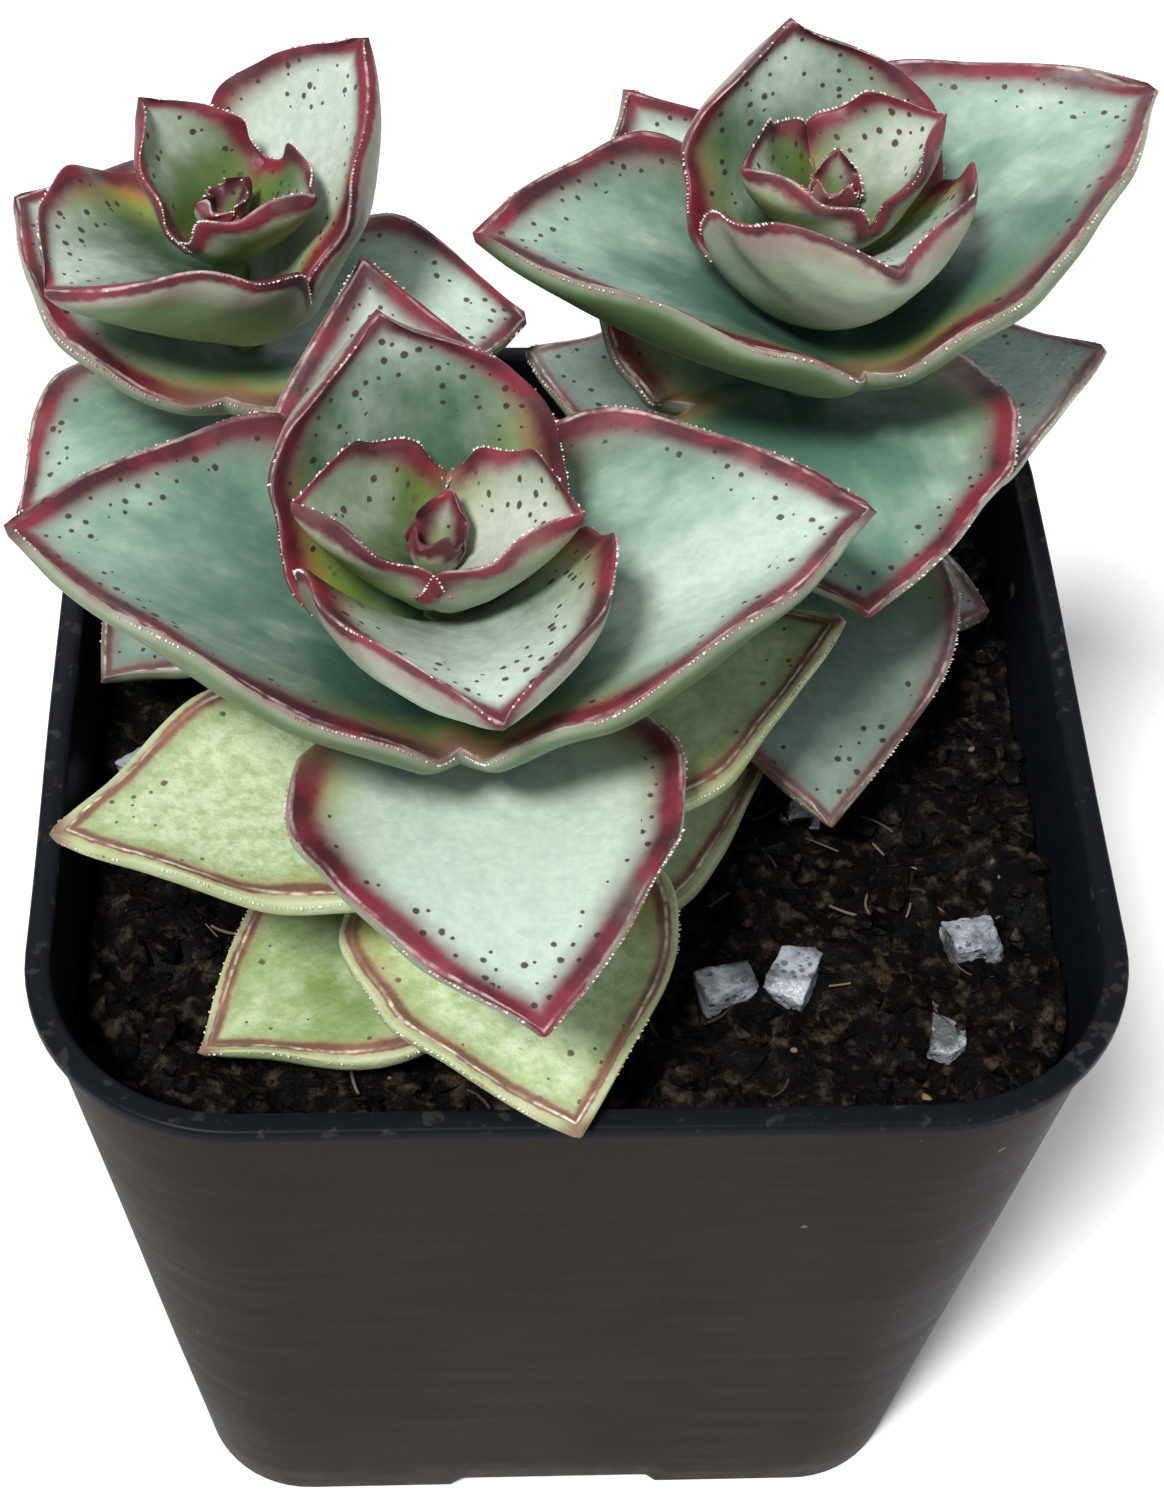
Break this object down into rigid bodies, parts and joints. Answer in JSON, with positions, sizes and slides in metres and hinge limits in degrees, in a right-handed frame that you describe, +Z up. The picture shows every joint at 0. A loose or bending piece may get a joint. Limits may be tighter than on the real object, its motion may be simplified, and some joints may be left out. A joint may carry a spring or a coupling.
{
  "type": "potted string of buttons plant",
  "caption": "Succulent with thick triangular leaves in pairs stacked round upright stems, growing in soil in a small square plastic nursery pot.",
  "frame": {"origin": "middle of the pot's foot, on the surface that the pot stands on", "axes": "+Z up; -Y towards the front of the pot, where the tallest rosette's broad leaves overhang the rim; +X to the right"},
  "size_m": [0.0603, 0.0612, 0.0867],
  "materials": {
    "pot": "thin satin charcoal plastic, faintly streaked",
    "soil": "rough moist peat with fibres",
    "perlite": "rough white and grey grains",
    "stem": "matt bark, greenish near the top",
    "leaf": "smooth leaf with a powdery bloom and a crimson margin"
  },
  "bodies": {
    "root": {"pot": "pot", "soil": "soil", "front_stem": "stem", "front_pair_1": "leaf", "front_pair_2": "leaf", "front_pair_3": "leaf", "front_pair_4": "leaf", "front_pair_5": "leaf", "front_pair_6": "leaf", "front_pair_7": "leaf", "front_pair_8": "leaf", "right_stem": "stem", "right_pair_1": "leaf", "right_pair_2": "leaf", "right_pair_3": "leaf", "right_pair_4": "leaf", "right_pair_5": "leaf", "right_pair_6": "leaf", "right_pair_7": "leaf", "right_pair_8": "leaf", "left_stem": "stem", "left_pair_1": "leaf", "left_pair_2": "leaf", "left_pair_3": "leaf", "left_pair_4": "leaf", "left_pair_5": "leaf", "left_pair_6": "leaf", "left_pair_7": "leaf", "perlite_1": "perlite", "perlite_2": "perlite", "perlite_3": "perlite", "perlite_4": "perlite", "perlite_5": "perlite", "perlite_6": "perlite"}
  },
  "joints": []
}
